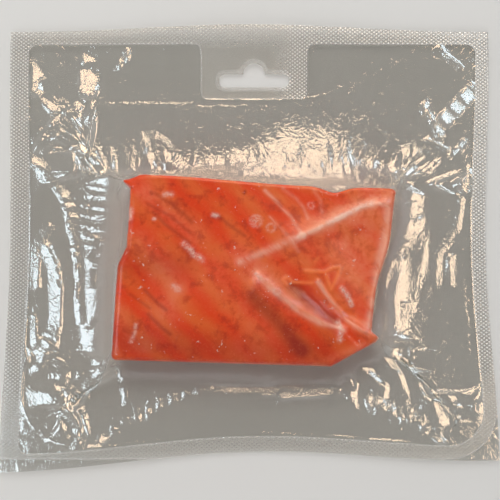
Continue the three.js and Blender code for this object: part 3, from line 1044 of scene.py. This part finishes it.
FLESH_MARKS["frost"] = [
    (0.8, 0.8, [(-14.2, 9.9), (-12.6, 9.5)]),
    (0.7, 0.9, [(-33.2, 18), (-30.6, 18)]),
    (0.7, 1.0, [(-25.6, -1.5), (-22.8, -3.9), (-21.5, -6.0)]),
    (0.8, 1.0, [(-19.8, -6.6), (-18.4, -7.9)]),
    (0.5, 1.2, [(-29.2, -18.2), (-27.6, -19.4)]),
    (0.8, 0.6, [(-37.5, 8.3), (-37.1, 8.3)]),
    (0.9, 1.0, [(-46.6, 11.8), (-46.8, 8.6)]),
    (0.7, 0.8, [(2.6, -13.2), (4.0, -14.6)]),
    (0.5, 1.3, [(2.4, 7.2), (2.8, 7.8)]),
    # A painted highlight: white along the ridge of the main fold.
    (0.55, 1.2, [(31, 6.6), (37, 9.6), (44, 13.2), (48, 14.4)]),
    (0.5, 0.7, [(-45.6, -39.4), (-44.3, -36.2), (-43.9, -33)]),
    (0.9, 0.8, [(36, -18.9), (38.3, -22), (39.8, -25.5)]),
    (0.9, 0.8, [(34.4, -32), (35.5, -35.1), (35.1, -39)]),
]
# Painted glow: bright orange on the curled creases of the film, where light shines through them.
FLESH_MARKS["glow"] = [
    (0.9, 0.7, [(22, -12.2), *CURL]),
    (0.8, 0.7, [(14.3, -17.3), (13.1, -15.8), (14.7, -14.6), (16.6, -16.5), (24.4, -16.9)]),
    (0.6, 0.9, [(25.6, -8.5), (26.8, -7.2)]),
    (0.6, 1.2, [(0.6, -16.5), (2.4, -14.8)]),
]
BUBBLES = [(2.6, 7.4, 2.2), (8.5, 4.8, 1.5), (10.6, -20.2, 1.2), (24.2, 13.4, 1.1)]
RING_STRENGTH, RING_WIDTH = 0.3, 0.6

flat = read_points(salmon)[:, :2]
flesh_values = {name: drawn(flat, marks) for name, marks in FLESH_MARKS.items()}
for x, y, radius in BUBBLES:
    off_ring = np.hypot(flat[:, 0] - x, flat[:, 1] - y) - radius
    flesh_values["frost"] += RING_STRENGTH * np.exp(-((off_ring / RING_WIDTH) ** 2))
for name, values in flesh_values.items():
    keep_value(salmon, name, values)
    print(name, "has", len(FLESH_MARKS[name]), "marks on the flesh")

# %% [markdown]
# ## Materials: helpers
#
# A material is a small tree of nodes. These helpers add nodes and join them, so that each finish below
# reads as a short recipe.

# %% Node helpers


def new_material(name):
    material = bpy.data.materials.get(name) or bpy.data.materials.new(name)
    material.use_nodes = True
    material.node_tree.nodes.clear()
    return material, Tree(material.node_tree)


class Tree:
    """Adds nodes to a node tree and joins them."""

    def __init__(self, tree):
        self.tree = tree

    def node(self, kind, **inputs):
        made = self.tree.nodes.new(kind)
        for name, value in inputs.items():
            self.join(value, made.inputs[name.replace("_", " ")])
        return made

    def join(self, value, socket):
        if isinstance(value, bpy.types.NodeSocket):
            self.tree.links.new(value, socket)
        else:
            socket.default_value = value

    def math(self, operation, *values, clamp=False):
        made = self.tree.nodes.new("ShaderNodeMath")
        made.operation = operation
        made.use_clamp = clamp
        for value, socket in zip(values, made.inputs):
            self.join(value, socket)
        return made.outputs[0]

    def plus(self, a, b, clamp=False):
        return self.math("ADD", a, b, clamp=clamp)

    def times(self, a, b, clamp=False):
        return self.math("MULTIPLY", a, b, clamp=clamp)

    def fit(self, value, slope, start):
        return self.math("MULTIPLY_ADD", value, slope, start)

    def blend(self, factor, a, b):
        made = self.tree.nodes.new("ShaderNodeMix")
        made.data_type = "RGBA"
        made.clamp_factor = True
        self.join(factor, made.inputs[0])
        for value, socket in ((a, made.inputs[6]), (b, made.inputs[7])):
            self.join(value if isinstance(value, bpy.types.NodeSocket) else (*value, 1), socket)
        return made.outputs[2]

    def ramp(self, value, low, high, start=0.0, end=1.0):
        made = self.tree.nodes.new("ShaderNodeMapRange")
        made.interpolation_type = "SMOOTHSTEP"
        for number, entry in enumerate((value, low, high, start, end)):
            self.join(entry, made.inputs[number])
        return made.outputs[0]

    def noise(self, vector, scale, detail=2.0, roughness=0.5, distortion=0.0):
        look = {"Scale": scale, "Detail": detail, "Roughness": roughness, "Distortion": distortion}
        return self.node("ShaderNodeTexNoise", Vector=vector, **look).outputs[0]

    def turned(self, vector, degrees, scale=(1, 1, 1)):
        turn = (0, 0, math.radians(degrees))
        return self.node("ShaderNodeMapping", Vector=vector, Rotation=turn, Scale=scale).outputs[0]

    def attribute(self, name):
        made = self.tree.nodes.new("ShaderNodeAttribute")
        made.attribute_name = name
        return made.outputs["Fac"]

    def place(self):
        return self.node("ShaderNodeTexCoord").outputs["Object"]

    def bump(self, height, distance):
        return self.node("ShaderNodeBump", Height=height, Distance=distance, Strength=1.0).outputs[0]

    def layered(self, share, under, over):
        made = self.node("ShaderNodeMixShader", Fac=share)
        self.join(under, made.inputs[1])
        self.join(over, made.inputs[2])
        return made.outputs[0]

    def finish(self, shader):
        self.node("ShaderNodeOutputMaterial", Surface=shader)


# %% [markdown]
# ## A shared effect: the crumple of thin film
#
# Both webs show the same fine crumple, so it is a node group, built once. It gives a height that changes
# over the surface, and each material adds it to its own relief. Where the film is folded into strips the
# crumple is ragged, which breaks a glint up into small flakes.

# %% Build the crumple group


def crumple_group():
    """Takes a place and how ragged the film is there, and gives a height."""
    group = bpy.data.node_groups.new("film_crumple", "ShaderNodeTree")
    group.interface.new_socket("Vector", in_out="INPUT", socket_type="NodeSocketVector")
    group.interface.new_socket("Ragged", in_out="INPUT", socket_type="NodeSocketFloat")
    group.interface.new_socket("Height", in_out="OUTPUT", socket_type="NodeSocketFloat")
    tree = Tree(group)
    entry, ragged = tree.node("NodeGroupInput").outputs[:2]
    wide = tree.noise(entry, 90.0, detail=2.0, roughness=0.5, distortion=0.6)
    fine = tree.noise(entry, 650.0, detail=2.0, roughness=0.6)
    veins = tree.math("ABSOLUTE", tree.math("SUBTRACT", tree.noise(entry, 240.0, 2.0, 0.5, 1.2), 0.5))
    height = tree.plus(tree.times(wide, 1.2), tree.times(fine, tree.fit(ragged, 1.5, 0.6)))
    tree.node("NodeGroupOutput", Height=tree.math("SUBTRACT", height, tree.times(veins, 2.2)))
    return group


CRUMPLE = crumple_group()


def crumple(tree, place, ragged):
    """Places the crumple group in a material."""
    made = tree.node("ShaderNodeGroup")
    made.node_tree = CRUMPLE
    tree.join(place, made.inputs["Vector"])
    tree.join(ragged, made.inputs["Ragged"])
    return made.outputs["Height"]


# %% [markdown]
# ## The film's materials
#
# Thin film does two things: most light goes straight through, and a little is mirrored, more where it is
# met at a low angle. A transparent shader and a mirror-like one are mixed by that angle. Where the webs
# are pressed together the film turns milky and carries staggered dots.

# %% Clear web and lower web

DOT_PITCH = (2.0 * MM, 1.5 * MM)
MILK = (0.88, 0.88, 0.86, 1)


def pressed_dots(tree, place):
    """Rows of staggered dots, from 0 between them to 1 on them."""
    split = tree.node("ShaderNodeSeparateXYZ", Vector=place)
    across, up = (
        tree.math("COSINE", tree.times(split.outputs[axis], 2 * math.pi / pitch))
        for axis, pitch in enumerate(DOT_PITCH)
    )
    return tree.ramp(tree.times(across, up), 0.05, 0.6)


def web_material(name, passes, mirror, milky, dotted):
    """Film that lets the colour passes through, mirrors a little, and may carry pressed dots."""
    material, tree = new_material(name)
    place = tree.place()
    depth, press_and_sheen, hug = (tree.attribute(each) for each in ("seal", "press_and_sheen", "hug"))
    seal = tree.ramp(depth, -0.15, 0.15)
    ragged = tree.times(tree.attribute("fold"), dotted)
    # A lighter line along the inner edge of the seal: a painted highlight.
    edge = tree.ramp(tree.math("ABSOLUTE", depth), 0.12, 0.5, 1.0, 0.0)
    rim = tree.math("ABSOLUTE", tree.plus(tree.attribute("slot"), 0.9))
    rim = tree.ramp(rim, 0.3, 1.2, 1.0, 0.0)
    dots = tree.times(pressed_dots(tree, place), tree.times(seal, dotted))
    dots = tree.times(dots, tree.math("MINIMUM", press_and_sheen, 1.0))
    normal = tree.bump(tree.plus(tree.times(dots, 3.0), crumple(tree, place, ragged)), 0.12 * MM)
    facing = tree.node("ShaderNodeLayerWeight", Blend=0.5, Normal=normal).outputs["Facing"]
    wet = tree.times(tree.fit(hug, -0.85 * mirror, mirror), tree.fit(seal, -0.6, 1.0))
    shine = tree.plus(tree.times(tree.math("POWER", facing, 5.0), 0.9), wet, clamp=True)
    # The seal's haze and dots follow how hard it was pressed, with a painted sheen along the right side.
    haze = tree.times(tree.plus(tree.times(seal, 0.10 * dotted), tree.times(dots, 0.55)), press_and_sheen)
    # the painted highlight along the seal's edge
    haze = tree.plus(haze, tree.times(edge, 0.22 * dotted))
    haze = tree.plus(haze, tree.times(rim, 0.2 * dotted), clamp=True)
    haze = tree.plus(haze, milky, clamp=True)
    clear = tree.node("ShaderNodeBsdfTransparent", Color=(*passes, 1))
    milk = tree.node("ShaderNodeBsdfPrincipled", Base_Color=MILK, Roughness=0.35, Normal=normal)
    mirror_like = tree.node(
        "ShaderNodeBsdfPrincipled",
        Base_Color=(1, 1, 1, 1),
        Metallic=1.0,
        Roughness=tree.fit(hug, 0.25, tree.fit(seal, 0.24, 0.07)),
        Normal=normal,
    )
    whole = tree.layered(haze, clear.outputs[0], milk.outputs[0])
    tree.finish(tree.layered(shine, whole, mirror_like.outputs[0]))
    return material


clear_web = web_material("clear_web", passes=(0.95, 0.95, 0.94), mirror=0.08, milky=0.004, dotted=1.0)
lower_web = web_material("lower_web", passes=(0.76, 0.75, 0.73), mirror=0.04, milky=0.02, dotted=0.0)
print("film materials:", clear_web.name, lower_web.name)

# %% [markdown]
# ## The salmon's material
#
# Orange flesh in slanting bands, paler fat between them, painted shade in the hollows, small mottles,
# white frost under the film, and painted highlights, sheen and glow on the folds. Light enters the flesh a
# little way, so it has subsurface scattering.

# %% Frozen salmon

BAND_PITCH = 11 * MM
BAND_SLANT = -42
# Some of these tones paint light: the hollow tone is painted shade, the veil, fat and frost tones also
# paint sheen and highlights on the folds, and the glow tone is a painted glow.
DEEP, ORANGE, PINK = (0.48, 0.024, 0.002), (0.80, 0.052, 0.002), (0.80, 0.128, 0.020)
SHEEN_AND_PALE_FLESH, PAINTED_SHADE, FAT_AND_HIGHLIGHT = (0.88, 0.25, 0.13), (0.33, 0.02, 0.006), (0.94, 0.50, 0.38)
PAINTED_GLOW, GRAIN, FROST_AND_HIGHLIGHT = (1.0, 0.24, 0.07), (0.88, 0.24, 0.09), (0.9, 0.66, 0.58)


def salmon_material():
    """Flesh in slanting bands, under the marks kept on its vertices, with frost on top."""
    material, tree = new_material("frozen_salmon")
    place = tree.place()
    slant = tree.turned(place, BAND_SLANT)
    wander = tree.noise(place, 55.0, 2.0, 0.5)
    across = tree.node("ShaderNodeSeparateXYZ", Vector=slant).outputs["X"]
    phase = tree.fit(across, 2 * math.pi / BAND_PITCH, tree.times(wander, 5.0))
    bands = tree.fit(tree.math("SINE", phase), 0.5, 0.5)
    streaks = tree.noise(tree.turned(slant, 0, (1.0, 0.3, 1.0)), 260.0, 3.0, 0.6, 0.8)
    mottle = tree.noise(place, 190.0, 5.0, 0.6, 0.2)
    cloud = tree.noise(place, 45.0, 3.0, 0.6)
    grain = tree.noise(place, 1100.0, 2.0, 0.6)
    specks = tree.ramp(tree.noise(place, 620.0, 2.0, 0.6), 0.62, 0.72)
    patches = tree.ramp(tree.noise(place, 110.0, 2.0, 0.5), 0.54, 0.66)
    fat, hollow, veil, frost, glow = (tree.attribute(name) for name in FLESH_MARKS)
    veil = tree.times(veil, tree.ramp(mottle, 0.62, 0.35, 0.35, 1.0))
    fat = tree.times(fat, tree.ramp(streaks, 0.35, 0.6, 0.3, 0.9))
    crust = tree.times(frost, tree.ramp(grain, 0.35, 0.6, 0.4, 1.2))
    frost = tree.math("MAXIMUM", tree.times(specks, patches), crust, clamp=True)
    colour = ORANGE
    for share, tint in (
        (tree.times(bands, tree.ramp(cloud, 0.3, 0.55, 0.35, 1.0), clamp=True), PINK),
        (tree.ramp(streaks, 0.55, 0.8, 0.0, 0.5), PINK),
        (tree.ramp(mottle, 0.48, 0.72, 0.0, 0.7), DEEP),
        # paler flesh and painted sheen
        (tree.times(veil, 0.6, clamp=True), SHEEN_AND_PALE_FLESH),
        # painted shade in the creases and low parts
        (tree.times(hollow, 0.85, clamp=True), PAINTED_SHADE),
        # fat, with a painted highlight along the main fold
        (tree.times(fat, 1.0, clamp=True), FAT_AND_HIGHLIGHT),
        # painted glow on the curled creases
        (tree.times(glow, 0.8, clamp=True), PAINTED_GLOW),
        (tree.ramp(grain, 0.5, 0.8, 0.0, 0.15), GRAIN),
        # frost, with a painted highlight on the fold's ridge
        (tree.times(frost, 0.75), FROST_AND_HIGHLIGHT),
    ):
        colour = tree.blend(share, colour, tint)
    height = tree.plus(tree.times(mottle, 0.6), tree.times(streaks, 0.6))
    height = tree.plus(height, tree.times(frost, 0.5))
    flesh = tree.node(
        "ShaderNodeBsdfPrincipled",
        Base_Color=colour,
        Roughness=tree.fit(frost, 0.3, 0.36),
        Specular_IOR_Level=0.15,
        Subsurface_Weight=0.12,
        Subsurface_Radius=(0.9, 0.3, 0.15),
        Subsurface_Scale=1.5 * MM,
        Normal=tree.bump(height, 0.35 * MM),
    )
    tree.finish(flesh.outputs[0])
    return material


salmon.data.materials.append(salmon_material())

# %% [markdown]
# ## Finish the pieces
#
# Smooth shading, the body they ride on, and the solid they replace, which is hidden.

# %% Shade, and tie the pieces to the frame

SMOOTH_ANGLE = 50

for piece, finish_slot in ((film, "film"), (salmon, "salmon")):
    pick(piece)
    bpy.ops.object.shade_smooth_by_angle(angle=math.radians(SMOOTH_ANGLE))
    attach(piece, "root")
    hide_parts("sealed_pack")
    print(piece.name, len(piece.data.vertices), "points,", len(piece.data.polygons), "faces")

# %% [markdown]
# ## Floor, camera and light
#
# The pack lies on a plain pale floor. The cards give the film its cream and blue-white glints, and light
# nothing else. Two soft lamps light everything, and are not mirrored. The room is bright at its walls
# and dark overhead, where the flat film would mirror it as an even haze.

# %% Floor, camera and lights

FLOOR_TONE = (0.78, 0.78, 0.77, 1)
FOCAL_PIXELS, IMAGE_PIXELS = 901, 500
CARD_RADIANCE = 9.5
CARD_SIZE = (0.42, 0.44)
LAMP_DISTANCE, LAMP_SIZE = 1.2, (0.8, 0.8)

bpy.ops.object.select_all(action="DESELECT")
bpy.ops.mesh.primitive_plane_add(size=6, location=(0, 0, 0))
floor = bpy.context.object
floor.name = "floor"
floor_material, tree = new_material("pale_floor")
tree.finish(tree.node("ShaderNodeBsdfDiffuse", Color=FLOOR_TONE).outputs[0])
floor.data.materials.append(floor_material)

lens_data = bpy.data.cameras.new("camera")
camera = bpy.data.objects.new("camera", lens_data)
bpy.context.scene.collection.objects.link(camera)
camera.location = EYE * MM
camera.rotation_euler = (CAMERA_LEAN, 0, 0)
lens_data.sensor_width = 36
lens_data.lens = FOCAL_PIXELS / IMAGE_PIXELS * lens_data.sensor_width
lens_data.clip_start = 0.01
bpy.context.scene.camera = camera


def soft_box(name, lean, towards, distance, size, radiance, colour, glints):
    """A lamp of size (across, along its lean), which makes glints and nothing else, or all but glints."""
    data = bpy.data.lights.new(name, "AREA")
    data.shape = "RECTANGLE"
    data.size, data.size_y = size
    data.color = colour
    data.energy = radiance * math.pi * size[0] * size[1]
    lamp = bpy.data.objects.new(name, data)
    bpy.context.scene.collection.objects.link(lamp)
    lamp.location = direction(lean, towards) * distance
    lamp.rotation_euler = lamp.location.to_track_quat("Z", "Y").to_euler()
    lamp.visible_diffuse = not glints
    lamp.visible_glossy = glints


for name, (lean, towards, colour) in CARDS.items():
    soft_box(name, lean, towards, CARD_DISTANCE * MM, CARD_SIZE, CARD_RADIANCE, colour, glints=True)
soft_box("key_light", 32, 100, LAMP_DISTANCE, LAMP_SIZE, 4.0, DAY, glints=False)
soft_box("fill_light", 40, 250, LAMP_DISTANCE, LAMP_SIZE, 1.8, DAY, glints=False)
world = bpy.data.worlds.new("room")
bpy.context.scene.world = world
world.use_nodes = True
room = Tree(world.node_tree)
skyward = room.node("ShaderNodeTexCoord").outputs["Generated"]
skyward = room.node("ShaderNodeSeparateXYZ", Vector=skyward)
walls = room.ramp(skyward.outputs["Z"], 0.15, 0.85, 0.90, 0.04)
backdrop = world.node_tree.nodes["Background"]
backdrop.inputs["Color"].default_value = (0.97, 0.98, 1.0, 1)
room.join(walls, backdrop.inputs["Strength"])
# Colours are shown as they are, without a film-like curve.
bpy.context.scene.view_settings.view_transform = "Standard"
